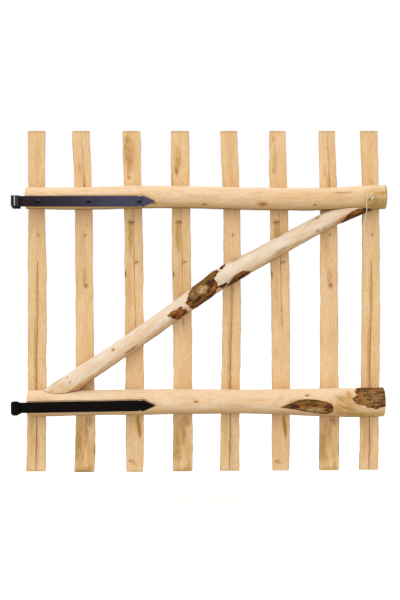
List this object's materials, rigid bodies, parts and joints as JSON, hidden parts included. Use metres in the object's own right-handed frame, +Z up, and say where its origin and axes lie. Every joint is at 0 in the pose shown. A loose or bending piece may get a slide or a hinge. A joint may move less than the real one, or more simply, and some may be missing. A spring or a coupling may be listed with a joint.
{
  "type": "garden gate",
  "caption": "Rustic wooden picket gate leaf: split pickets on two round rails with a diagonal brace, strap hinges and drive-in hooks.",
  "frame": {"origin": "on the hinge line at the underside of the lower strap's eye", "axes": "+Z up along the hinge line, +X along the closed leaf to the latch side, +Y from the strap side to the picket side"},
  "size_m": [0.9774, 0.1094, 0.9074],
  "materials": {
    "split_wood": "split, unplaned, matt",
    "peeled_wood": "peeled round timber, matt",
    "brace_wood": "peeled round timber with bark left in patches",
    "black_strap": "satin black powder coat",
    "black_screw": "satin black",
    "black_hook": "satin black",
    "zinc_wire": "dull zinc",
    "twine": "undyed natural fibre"
  },
  "bodies": {
    "hinge_hooks": {"upper_hook_pin": "black_hook", "upper_hook_spike": "black_hook", "lower_hook_pin": "black_hook", "lower_hook_spike": "black_hook"},
    "leaf": {"picket_1": "split_wood", "picket_2": "split_wood", "picket_3": "split_wood", "picket_4": "split_wood", "picket_5": "split_wood", "picket_6": "split_wood", "picket_7": "split_wood", "picket_8": "split_wood", "top_rail": "peeled_wood", "bottom_rail": "peeled_wood", "brace": "brace_wood", "top_strap": "black_strap", "bottom_strap": "black_strap", "top_strap_screw_1": "black_screw", "top_strap_screw_2": "black_screw", "top_strap_screw_3": "black_screw", "bottom_strap_screw_1": "black_screw", "bottom_strap_screw_2": "black_screw", "bottom_strap_screw_3": "black_screw", "top_rail_nail_1": "zinc_wire", "top_rail_nail_2": "zinc_wire", "top_rail_nail_3": "zinc_wire", "top_rail_nail_4": "zinc_wire", "top_rail_nail_5": "zinc_wire", "top_rail_nail_6": "zinc_wire", "top_rail_nail_7": "zinc_wire", "top_rail_nail_8": "zinc_wire", "bottom_rail_nail_1": "zinc_wire", "bottom_rail_nail_2": "zinc_wire", "bottom_rail_nail_3": "zinc_wire", "bottom_rail_nail_4": "zinc_wire", "bottom_rail_nail_5": "zinc_wire", "bottom_rail_nail_6": "zinc_wire", "bottom_rail_nail_7": "zinc_wire", "bottom_rail_nail_8": "zinc_wire", "brace_nail_2": "zinc_wire", "brace_nail_3": "zinc_wire", "brace_nail_4": "zinc_wire", "brace_nail_5": "zinc_wire", "brace_nail_6": "zinc_wire", "brace_nail_7": "zinc_wire", "twine_staple": "zinc_wire", "twine_knot": "twine", "tie_twine": "twine"}
  },
  "joints": [
    {"name": "gate_swing", "type": "hinge", "parent": "hinge_hooks", "child": "leaf", "pos_m": [0, 0, 0], "axis": [0, 0, -1], "range_deg": [0, 175]}
  ]
}
